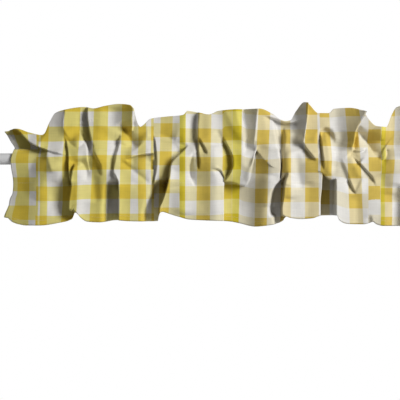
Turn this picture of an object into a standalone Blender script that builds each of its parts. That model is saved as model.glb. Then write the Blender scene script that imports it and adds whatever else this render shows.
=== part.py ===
"""Window valance and rod.

One length of light cotton, hemmed all round and sewn with two lines across, so that it has a
header above, a pocket in the middle and a skirt below.  A round rod runs through the pocket and
the cloth is pushed together along it, so every layer stands in uneven folds.

Frame: the origin is the centre of the rod's left end face.  +X runs along the rod, the front of
the cloth looks along -Y, and +Z is up.  All sizes below are millimetres.
"""

import math

import bmesh
import bpy
import numpy as np

MM = 0.001

# rod
ROD_LENGTH = 1160.0
ROD_RADIUS = 14.0
ROD_SIDES = 48
ROD_EDGE = 1.0

# cloth, measured as it hangs on the rod
CLOTH_LEFT = 76.0
CLOTH_RIGHT = 1090.0
SEAM_LOW = -60.0
SEAM_TOP = 22.0
SHEET = 1.8
MAX_SLANT = 2.2
FOLD_DEPTH = 1.3
FOLD_EDGE = 5.0
FOLD_FADE = 0.3
END_CREEP = 30.0

# how finely the cloth is faceted
STATIONS = 84
SKIRT_ROWS = 7
POCKET_ROWS = 7
HEADER_ROWS = 7
ROWS = SKIRT_ROWS + POCKET_ROWS + HEADER_ROWS + 1
STEEP_SHARE = 0.62
ROW_SHARE = 4.5

# the top edge, seen from the front
TOP_EDGE = (
    # x, z
    (62, 70), (70, 76), (92, 76), (125, 67), (155, 60), (161, 64), (170, 90), (185, 115),
    (202, 121), (258, 130), (282, 126), (310, 132), (345, 137), (374, 134), (383, 125), (396, 86),
    (401, 80), (408, 84), (426, 100), (465, 106), (508, 110), (518, 120), (545, 116), (570, 111),
    (595, 120), (640, 124), (692, 125), (726, 113), (765, 95), (776, 97), (790, 120), (808, 141),
    (820, 138), (846, 115), (876, 115), (890, 126), (926, 128), (958, 120), (970, 98), (990, 82),
    (1014, 80), (1026, 110), (1036, 129), (1052, 134), (1075, 126), (1096, 118),
)

# the hem, seen from the front
HEM_EDGE = (
    # x, z
    (58, -146), (75, -160), (100, -166), (150, -166), (200, -160), (236, -149), (241, -134),
    (250, -137), (260, -147), (276, -156), (305, -158), (345, -153), (375, -155), (420, -156),
    (449, -155), (452, -140), (462, -132), (475, -135), (500, -145), (525, -151), (560, -153),
    (610, -155), (650, -160), (690, -169), (715, -167), (738, -163), (761, -153), (764, -144),
    (775, -147), (800, -150), (830, -148), (847, -142), (888, -141), (893, -153), (912, -162),
    (950, -163), (970, -160), (980, -157), (990, -163), (1010, -167), (1050, -167), (1096, -160),
)

# the two short ends, seen from the front
LEFT_END = (
    # z, x
    (-170, 58), (-146, 60), (-115, 71), (-100, 74), (-85, 81), (-60, 83), (-45, 81), (-25, 79),
    (-5, 76), (10, 78), (25, 85), (45, 74), (60, 68), (72, 62), (150, 62),
)
RIGHT_END = (
    # z, x
    (-170, 1096), (-146, 1096), (-110, 1086), (-85, 1080), (-60, 1078), (-25, 1084), (0, 1086),
    (20, 1080), (45, 1084), (90, 1096), (150, 1098),
)

# how far the cloth stands in front of the rod's centre before it is folded
STAND_OFF = (
    # z, forward
    (-180, 15), (-60, 11), (-25, 24), (0, 26), (22, 12), (60, 5), (140, -6),
)
# the rod keeps the front layer in front of this line
ROD_LIMIT = (
    # z, least forward
    (-180, -40), (-60, -26), (-36, -4), (-22, 9.5), (-14, 14.8), (-7, 18.6), (0, 19.7),
    (7, 18.6), (14, 13.8), (22, 3), (36, -10), (60, -24), (150, -60),
)

# Folds.  Each one is a line on the cloth, drawn downwards or to the right.  "near" is the side to
# the right of a line drawn downwards, or above a line drawn to the right, and "far" is the other.
# Each side is lifted (or sunk) most at the line and dies away over its reach.
FOLDS = (
    # x0, z0, x1, z1, bow, near lift, near reach, far lift, far reach
    # header
    (62, 76, 134, 34, 3, 16, 14, -14, 22),
    (104, 47, 214, 4, -3, 24, 32, -6, 12),
    (120, 80, 150, 40, 0, -14, 22, -14, 22),
    (199, 138, 228, 36, -4, -14, 12, -14, 15),
    (232, 138, 242, 26, 0, 11, 13, 11, 13),
    (263, 136, 265, 50, 0, 6, 30, -26, 14),
    (265, 66, 309, -40, -3, 10, 24, -18, 11),
    (304, 140, 300, 40, 0, 10, 32, 10, 32),
    (338, 128, 334, 60, 0, -12, 15, -12, 15),
    (380, 138, 378, 66, 0, -14, 20, 18, 24),
    (398, 104, 393, 50, 0, -26, 18, -26, 18),
    (516, 126, 512, 50, 0, 14, 9, 14, 55),
    (543, 124, 547, 32, -3, 14, 24, -26, 16),
    (572, 120, 572, 24, 0, 10, 20, 10, 20),
    (604, 60, 610, -56, 18, -22, 10, -22, 11),
    (677, 132, 672, 16, 0, -22, 12, -22, 13),
    (708, 118, 716, 36, 0, 12, 26, 12, 26),
    (728, 104, 806, 82, -4, 4, 10, -14, 16),
    (824, 144, 805, 30, 0, 14, 32, -28, 20),
    (804, 40, 848, -18, -4, 10, 16, -20, 13),
    (845, 62, 864, -40, -2, 9, 12, -16, 9),
    (898, 128, 905, 40, 0, 10, 20, 10, 20),
    (959, 126, 930, 28, 2, -16, 20, 18, 15),
    (990, 92, 990, 46, 0, -14, 28, -14, 28),
    (956, 60, 1005, -4, 8, -13, 10, -13, 10),
    (1040, 134, 1034, 28, 0, 14, 16, 14, 14),
    # pocket
    (219, 26, 203, -68, 3, 7, 12, -20, 11),
    (244, 44, 254, -32, 0, 12, 20, 12, 20),
    (300, 44, 311, -48, 0, 8, 12, 8, 12),
    (351, 60, 321, -18, 4, 12, 26, -20, 12),
    (321, 2, 346, -68, -5, 10, 20, -18, 12),
    (400, -4, 410, -54, 0, 8, 24, 8, 24),
    (436, 54, 438, -58, 1, 10, 20, -12, 11),
    (518, 34, 466, -24, 4, 14, 28, -16, 11),
    (586, 12, 590, -42, 0, 10, 20, 10, 20),
    (626, -46, 676, -46, -18, 14, 14, -12, 16),
    (690, 42, 658, -64, 4, 14, 9, 14, 9),
    (736, 80, 752, -54, 7, -16, 11, 8, 18),
    (838, -28, 900, -50, -3, 18, 18, -18, 13),
    (917, 56, 884, -38, 3, -10, 12, -10, 12),
    (926, 14, 986, -64, 5, -13, 8, -13, 8),
    # skirt
    (150, -60, 140, -172, 0, 8, 50, 8, 50),
    (232, -28, 223, -150, 2, 14, 24, -30, 26),
    (347, -56, 348, -185, 0, 12, 34, -32, 24),
    (464, -66, 444, -185, 0, 14, 34, -28, 24),
    (500, -80, 510, -170, 0, 8, 56, 8, 56),
    (606, -60, 606, -180, 0, -12, 25, 5, 12),
    (642, -75, 650, -175, 0, -10, 38, -10, 38),
    (718, -58, 704, -180, 0, 12, 20, 12, 20),
    (766, -36, 758, -185, 0, 12, 30, -20, 17),
    (849, -40, 847, -190, 0, -24, 28, 7, 22),
    (893, -46, 893, -190, 0, 10, 25, -26, 28),
    (932, -88, 932, -178, 0, 8, 38, 8, 38),
    (1020, -60, 1010, -170, 0, 8, 24, 8, 24),
    (1046, -90, 1052, -180, 0, -16, 18, -16, 20),
)

# the back of the pocket, from the lower seam up behind the rod and over it
POCKET_BACK = (
    # z, backward, share of the way out that is backward
    (-48, 4, 1.0),
    (-36, 12, 1.0),
    (-22, 18, 1.0),
    (-6, 20, 1.0),
    (9, 17.5, 0.9),
    (18.2, 5, 0.3),
)
BACK_WAVE = 4.0
BACK_WAVE_LENGTH = 74.0


def curve_through(points, places):
    """A smooth curve through a table's points that never swings past them."""
    at, value = np.array(points, float).T
    step = np.diff(at)
    slope = np.diff(value) / step
    tangent = np.zeros(len(at))
    for i in range(1, len(at) - 1):
        if slope[i - 1] * slope[i] > 0:
            before = 2 * step[i] + step[i - 1]
            after = step[i] + 2 * step[i - 1]
            tangent[i] = (before + after) / (before / slope[i - 1] + after / slope[i])
    places = np.clip(places, at[0], at[-1])
    i = np.clip(np.searchsorted(at, places) - 1, 0, len(at) - 2)
    t = (places - at[i]) / step[i]
    rise = t * t * (3 - 2 * t)
    start_pull = t * (1 - t) ** 2 * step[i] * tangent[i]
    end_pull = t * t * (t - 1) * step[i] * tangent[i + 1]
    return value[i] * (1 - rise) + value[i + 1] * rise + start_pull + end_pull


def ease(t):
    """0 to 1, level at both ends."""
    t = np.clip(t, 0, 1)
    return t * t * (3 - 2 * t)


def larger(a, b, round_off=4.0):
    """The larger of two surfaces, with the line where they meet rounded off."""
    return 0.5 * (a + b + np.sqrt((a - b) ** 2 + round_off ** 2))


def one_fold(x, z, fold):
    """How far one fold lifts the cloth at the places x, z."""
    x0, z0, x1, z1, bow, near, near_reach, far, far_reach = fold
    length = math.hypot(x1 - x0, z1 - z0)
    along_x = (x1 - x0) / length
    along_z = (z1 - z0) / length
    t = ((x - x0) * along_x + (z - z0) * along_z) / length
    across = (z - z0) * along_x - (x - x0) * along_z
    bent = np.clip(t, -0.2, 1.2)
    across = across - 4 * bow * bent * (1 - bent)
    strength = ease(t / FOLD_FADE) * ease((1 - t) / FOLD_FADE)
    reach = 0.55 + 0.45 * strength
    side = 0.5 + 0.5 * np.tanh(across / FOLD_EDGE)
    near_side = near * np.exp(-((across / (near_reach * reach)) ** 2))
    far_side = far * np.exp(-((across / (far_reach * reach)) ** 2))
    return strength * (side * near_side + (1 - side) * far_side)


def forward(x, z):
    """How far the front of the cloth stands in front of the rod's centre."""
    lift = curve_through(STAND_OFF, z)
    for fold in FOLDS:
        lift = lift + FOLD_DEPTH * one_fold(x, z, fold)
    return larger(lift, curve_through(ROD_LIMIT, z))


def slant(x, z):
    """What a depth is multiplied by, so that a steep fold keeps the sheet's thickness."""
    step = 0.5
    by_x = (forward(x + step, z) - forward(x - step, z)) / (2 * step)
    by_z = (forward(x, z + step) - forward(x, z - step)) / (2 * step)
    return np.minimum(np.sqrt(1 + by_x ** 2 + by_z ** 2), MAX_SLANT)


def row_heights(x):
    """The height of every row of the front at the places x, from the hem to the top edge."""
    hem = curve_through(HEM_EDGE, x)
    top = curve_through(TOP_EDGE, x)
    rows = []
    for k in range(SKIRT_ROWS):
        rows.append(hem + (SEAM_LOW - hem) * k / SKIRT_ROWS)
    for k in range(POCKET_ROWS):
        rows.append(np.full(len(x), SEAM_LOW + (SEAM_TOP - SEAM_LOW) * k / POCKET_ROWS))
    for k in range(HEADER_ROWS + 1):
        rows.append(SEAM_TOP + (top - SEAM_TOP) * k / HEADER_ROWS)
    return np.array(rows)


def station_places():
    """Places along each row for its sections, closer together where the folds are steep.

    Neighbouring rows share their steepness, so the lines of sections follow slanting folds.
    """
    fine = np.linspace(CLOTH_LEFT, CLOTH_RIGHT, 1200)
    x = np.tile(fine, (ROWS, 1))
    steep = np.abs(np.gradient(forward(x, row_heights(fine)), fine, axis=1))
    number = np.arange(ROWS)
    share = np.exp(-(((number[:, None] - number[None, :]) / ROW_SHARE) ** 2))
    steep = share @ steep / share.sum(axis=1, keepdims=True)
    places = []
    for row in steep:
        density = (1 - STEEP_SHARE) + STEEP_SHARE * row / row.mean()
        run = np.concatenate(([0], np.cumsum(0.5 * (density[1:] + density[:-1]))))
        places.append(np.interp(np.linspace(0, run[-1], STATIONS), run, fine))
    return places


def with_ends(x, z):
    """Moves the places near the two short ends onto the ends' own outlines."""
    at_left = curve_through(LEFT_END, z) - CLOTH_LEFT
    at_right = curve_through(RIGHT_END, z) - CLOTH_RIGHT
    from_left = np.exp(-(x - CLOTH_LEFT) / END_CREEP)
    from_right = np.exp(-(CLOTH_RIGHT - x) / END_CREEP)
    return x + at_left * from_left + at_right * from_right


def pocket_back(x, z, backward, outward):
    """One row of the pocket's back layer: its inner and its outer points."""
    row_x = with_ends(x, np.full(len(x), z))
    wave = BACK_WAVE * np.sin(2 * math.pi * row_x / BACK_WAVE_LENGTH + 0.04 * z) * ease(-z / 20)
    clear = 1.5 + SHEET * slant(row_x, z) - forward(row_x, z)
    inner_y = larger(backward + wave, clear, 1.0)
    inner = np.stack((row_x, inner_y, np.full(len(x), z)), axis=1)
    upward = math.sqrt(1 - outward ** 2)
    outer = inner + SHEET * np.array((0, outward, upward))
    return inner, outer


def cloth_layers():
    """Every row of points on the cloth: front, back and the inside of the pocket."""
    places = station_places()
    front = []
    back = []
    tunnel_front = []
    first_pocket = SKIRT_ROWS
    last_pocket = SKIRT_ROWS + POCKET_ROWS
    for k, x in enumerate(places):
        z = row_heights(x)[k]
        row_x = with_ends(x, z)
        y = -forward(row_x, z)
        depth = SHEET * slant(row_x, z)
        front.append(np.stack((row_x, y, z), axis=1))
        layers = 2 if k >= first_pocket else 1
        back.append(np.stack((row_x, y + layers * depth, z), axis=1))
        if first_pocket < k < last_pocket:
            tunnel_front.append(np.stack((row_x, y + depth, z), axis=1))
    tunnel_back = []
    for k, (z, backward, outward) in enumerate(POCKET_BACK):
        up = (k + 1) / POCKET_ROWS
        x = places[first_pocket] * (1 - up) + places[last_pocket] * up
        inner, outer = pocket_back(x, z, backward, outward)
        tunnel_back.append(inner)
        back[first_pocket + 1 + k] = outer
    seams = []
    for k, z in ((first_pocket, SEAM_LOW + SHEET), (last_pocket, SEAM_TOP - SHEET)):
        heights = np.full(STATIONS, z)
        row_x = with_ends(places[k], heights)
        y = SHEET * slant(row_x, heights) - forward(row_x, heights)
        seams.append(np.stack((row_x, y, heights), axis=1))
    tunnel = [seams[0]] + tunnel_front + [seams[1]] + tunnel_back[::-1]
    return front, back, tunnel


def add_rows(mesh, rows):
    """Puts rows of points into the mesh and gives back their vertices."""
    return [[mesh.verts.new(point * MM) for point in row] for row in rows]


def skin(mesh, rows, closed):
    """Faces between each row and the next one."""
    pairs = list(zip(rows, rows[1:]))
    if closed:
        pairs.append((rows[-1], rows[0]))
    for low, high in pairs:
        for k in range(len(low) - 1):
            mesh.faces.new((low[k], low[k + 1], high[k + 1], high[k]))


def end_cap(mesh, front, back, tunnel, k):
    """Closes the cut through the cloth at one short end, round the mouth of the pocket."""
    low = SKIRT_ROWS
    top = SKIRT_ROWS + POCKET_ROWS
    wall_front = tunnel[:POCKET_ROWS + 1]
    wall_back = [tunnel[0]] + tunnel[:POCKET_ROWS - 1:-1]
    for i in range(low):
        mesh.faces.new((front[i][k], front[i + 1][k], back[i + 1][k], back[i][k]))
    for i in range(top, len(front) - 1):
        mesh.faces.new((front[i][k], front[i + 1][k], back[i + 1][k], back[i][k]))
    for i in range(POCKET_ROWS):
        mesh.faces.new((front[low + i][k], front[low + i + 1][k], wall_front[i + 1][k], wall_front[i][k]))
        mesh.faces.new((back[low + i][k], back[low + i + 1][k], wall_back[i + 1][k], wall_back[i][k]))
    mesh.faces.new((front[low][k], tunnel[0][k], back[low][k]))
    mesh.faces.new((front[top][k], wall_front[-1][k], back[top][k]))


def material(name, colour, roughness, metallic):
    finish = bpy.data.materials.new(name)
    finish.use_nodes = True
    shader = finish.node_tree.nodes["Principled BSDF"]
    shader.inputs["Base Color"].default_value = (*colour, 1.0)
    shader.inputs["Roughness"].default_value = roughness
    shader.inputs["Metallic"].default_value = metallic
    return finish


def finish_object(name, mesh, finish, sharp_angle):
    """Turns a closed bmesh into an object with its faces pointing out."""
    bmesh.ops.recalc_face_normals(mesh, faces=mesh.faces)
    data = bpy.data.meshes.new(name)
    mesh.to_mesh(data)
    mesh.free()
    data.materials.append(finish)
    data.shade_smooth()
    data.set_sharp_from_angle(angle=math.radians(sharp_angle))
    piece = bpy.data.objects.new(name, data)
    bpy.context.scene.collection.objects.link(piece)
    return piece


def build_valance():
    layers = cloth_layers()
    mesh = bmesh.new()
    front, back, tunnel = (add_rows(mesh, rows) for rows in layers)
    skin(mesh, front + back[::-1], closed=True)
    skin(mesh, tunnel, closed=True)
    end_cap(mesh, front, back, tunnel, 0)
    end_cap(mesh, front, back, tunnel, STATIONS - 1)
    cotton = material("checked_cotton", (0.86, 0.76, 0.42), 0.9, 0.0)
    return finish_object("valance", mesh, cotton, 80)


def build_rod():
    """A plain tube end to end, with its two end edges taken off."""
    mesh = bmesh.new()
    bmesh.ops.create_cone(
        mesh, cap_ends=True, segments=ROD_SIDES, radius1=ROD_RADIUS * MM, radius2=ROD_RADIUS * MM,
        depth=ROD_LENGTH * MM,
    )
    rims = [edge for edge in mesh.edges if len(edge.link_faces) == 2 and max(len(f.verts) for f in edge.link_faces) > 4]
    bmesh.ops.bevel(mesh, geom=rims, offset=ROD_EDGE * MM, segments=1, affect="EDGES")
    enamel = material("white_enamel", (0.88, 0.88, 0.87), 0.35, 0.0)
    rod = finish_object("rod", mesh, enamel, 30)
    rod.rotation_euler = (0, math.radians(90), 0)
    rod.location = (0.5 * ROD_LENGTH * MM, 0, 0)
    return rod


for old in list(bpy.data.objects):
    bpy.data.objects.remove(old)
build_rod()
build_valance()
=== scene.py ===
# %% [markdown]
# # A gathered gingham valance on its rod
# A valance is the short curtain that hides the top of a window.  This one is a single length of
# light cotton gingham: its top is turned to the back and sewn down with two lines across, which
# makes a frill (the header), a tunnel for the rod (the pocket) and the part that hangs (the skirt).
# Pushed together along the rod, the cloth stands in deep, uneven folds.
# The plain solids of the part are loaded first.  They are the fixed frame that every piece below
# is placed by.

import math

import bpy
import numpy as np
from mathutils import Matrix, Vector


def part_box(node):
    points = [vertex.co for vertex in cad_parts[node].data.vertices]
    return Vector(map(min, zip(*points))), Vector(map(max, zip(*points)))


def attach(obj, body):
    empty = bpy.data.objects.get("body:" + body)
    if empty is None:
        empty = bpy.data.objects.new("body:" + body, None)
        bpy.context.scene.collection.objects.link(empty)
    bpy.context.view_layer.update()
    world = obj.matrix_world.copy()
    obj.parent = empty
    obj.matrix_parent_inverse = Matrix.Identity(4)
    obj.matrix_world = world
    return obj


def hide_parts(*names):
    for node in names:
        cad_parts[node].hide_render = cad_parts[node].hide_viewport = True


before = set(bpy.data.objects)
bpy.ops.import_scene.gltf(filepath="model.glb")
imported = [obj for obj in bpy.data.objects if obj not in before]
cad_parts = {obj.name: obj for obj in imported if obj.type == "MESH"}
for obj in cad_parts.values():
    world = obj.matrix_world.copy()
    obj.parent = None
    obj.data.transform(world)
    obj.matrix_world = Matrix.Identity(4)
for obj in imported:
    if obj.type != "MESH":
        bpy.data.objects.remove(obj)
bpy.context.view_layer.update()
print("solids:", sorted(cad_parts))

# %% [markdown]
# Millimetres suit a maker's numbers, so every length below is in millimetres, measured from the
# rod's left end: x runs to the right along the rod, z up, and "forward" towards the room.  The
# rod's thickness and the reach of the cloth are read from the solids.  The ends of the cloth swing
# in and out on their way down, so the net of points starts and stops where they swing in.

# %% Sizes from the solids
MM = 0.001
LEFT_SWING = 18.0
RIGHT_SWING = 8.0
SEAM_ABOVE_ROD = 8.0

rod_low, rod_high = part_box("rod")
cloth_low, cloth_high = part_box("valance")
ROD_RADIUS = 0.5 * (rod_high.z - rod_low.z) / MM
ROD_LENGTH = (rod_high.x - rod_low.x) / MM
CLOTH_LEFT = cloth_low.x / MM + LEFT_SWING
CLOTH_RIGHT = cloth_high.x / MM - RIGHT_SWING
SEAM_TOP = ROD_RADIUS + SEAM_ABOVE_ROD
SEAM_LOW = -60.0
print(f"rod {2 * ROD_RADIUS:.0f} by {ROD_LENGTH:.0f}")
print(f"cloth from {CLOTH_LEFT:.0f} to {CLOTH_RIGHT:.0f}")

# %% [markdown]
# In Blender a thing in the scene is an object that holds some data, such as a mesh, a camera or a
# lamp.  One helper makes the object and puts it in the scene.  The camera comes first.  A long lens
# from far away looks straight at the cloth, so nothing is distorted and the rows of checks stay
# level.  Lens and sensor are both in millimetres: the width seen at the cloth is the distance times
# the sensor's width over the lens.

# %% Camera
VIEW_WIDTH = 1.0
VIEW_DISTANCE = 4.0
SENSOR = 36.0
VIEW_X = 550 * MM
VIEW_Z = -102.5 * MM


def add_object(name, data):
    thing = bpy.data.objects.new(name, data)
    bpy.context.scene.collection.objects.link(thing)
    return thing


camera_data = bpy.data.cameras.new("camera")
camera_data.sensor_width = SENSOR
camera_data.lens = SENSOR * VIEW_DISTANCE / VIEW_WIDTH
camera = add_object("camera", camera_data)
camera.location = (VIEW_X, -VIEW_DISTANCE, VIEW_Z)
camera.rotation_euler = (math.radians(90), 0, 0)
bpy.context.scene.camera = camera
print(f"lens {camera_data.lens:.0f} mm")

# %% [markdown]
# Three helpers do most of the drawing.  `curve_through` joins the points of a short table with a
# smooth curve that never swings past them, so a table of a few places can say how an edge runs.
# `ease` goes from 0 to 1 and is level at both ends, so anything faded with it starts and stops
# without a kink.  `larger` takes the larger of two surfaces and rounds the place where they cross.

# %% Curves and fades
def curve_through(points, places):
    at, value = np.array(points, float).T
    step = np.diff(at)
    slope = np.diff(value) / step
    tangent = np.zeros(len(at))
    for i in range(1, len(at) - 1):
        if slope[i - 1] * slope[i] > 0:
            before = 2 * step[i] + step[i - 1]
            after = step[i] + 2 * step[i - 1]
            tangent[i] = (before + after) / (before / slope[i - 1] + after / slope[i])
    places = np.clip(places, at[0], at[-1])
    i = np.clip(np.searchsorted(at, places) - 1, 0, len(at) - 2)
    t = (places - at[i]) / step[i]
    rise = t * t * (3 - 2 * t)
    start_pull = t * (1 - t) ** 2 * step[i] * tangent[i]
    end_pull = t * t * (t - 1) * step[i] * tangent[i + 1]
    return value[i] * (1 - rise) + value[i + 1] * rise + start_pull + end_pull


def ease(t):
    t = np.clip(t, 0, 1)
    return t * t * (3 - 2 * t)


def larger(a, b, round_off):
    return 0.5 * (a + b + np.sqrt((a - b) ** 2 + round_off ** 2))


print("half way through a fade:", ease(0.5))

# %% [markdown]
# The outline of the cloth as it hangs: the ruffled top of the header, the hem, and the two short
# ends, which swing in at the rod and out again below it.  A step in the hem is where one fold hangs
# in front of the next.  The swing of an end dies away over the first few centimetres of cloth.

# %% Outline
TOP_EDGE = (
    # x, z
    (62, 70), (80, 70), (88, 75), (100, 76), (125, 67), (155, 60), (161, 64), (170, 90), (185, 115),
    (202, 121), (258, 130), (282, 126), (310, 132), (345, 137), (374, 134), (383, 125), (396, 86),
    (401, 80), (408, 84), (426, 100), (465, 106), (508, 110), (518, 120), (545, 116), (570, 111),
    (595, 120), (640, 124), (692, 125), (726, 113), (765, 95), (776, 97), (790, 120), (808, 141),
    (820, 138), (846, 115), (876, 115), (890, 126), (926, 128), (958, 120), (970, 98), (990, 82),
    (1014, 80), (1026, 110), (1036, 129), (1052, 134), (1075, 126), (1096, 118),
)
HEM_EDGE = (
    # x, z
    (58, -146), (80, -146), (90, -157), (102, -163), (118, -166), (150, -166), (200, -160),
    (236, -149), (241, -134), (250, -137), (260, -147), (276, -156), (305, -158), (345, -153),
    (375, -155), (420, -156), (449, -155), (452, -140), (462, -132), (475, -135), (500, -145),
    (525, -151), (560, -153), (610, -155), (650, -160), (690, -169), (715, -167), (738, -163),
    (761, -153), (764, -144), (775, -147), (800, -150), (830, -148), (847, -142), (888, -141),
    (893, -153), (912, -162), (950, -163), (970, -160), (980, -157), (990, -163), (1010, -167),
    (1050, -167), (1096, -160),
)
LEFT_END = (
    # z, x
    (-170, 59), (-146, 60), (-115, 72), (-100, 75), (-85, 82), (-60, 84), (-45, 83), (-25, 80),
    (-5, 78), (10, 81), (25, 85), (45, 74), (60, 65), (72, 57), (150, 57),
)
RIGHT_END = (
    # z, x
    (-170, 1096), (-146, 1096), (-110, 1086), (-85, 1080), (-60, 1078), (-25, 1084), (0, 1086),
    (20, 1080), (45, 1084), (90, 1096), (150, 1098),
)
END_CREEP = 30.0


def with_ends(x, z):
    at_left = curve_through(LEFT_END, z) - CLOTH_LEFT
    at_right = curve_through(RIGHT_END, z) - CLOTH_RIGHT
    from_left = np.exp(-(x - CLOTH_LEFT) / END_CREEP)
    from_right = np.exp(-(CLOTH_RIGHT - x) / END_CREEP)
    return x + at_left * from_left + at_right * from_right


print(f"cloth stands {max(z for _, z in TOP_EDGE) - min(z for _, z in HEM_EDGE)} high")
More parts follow.
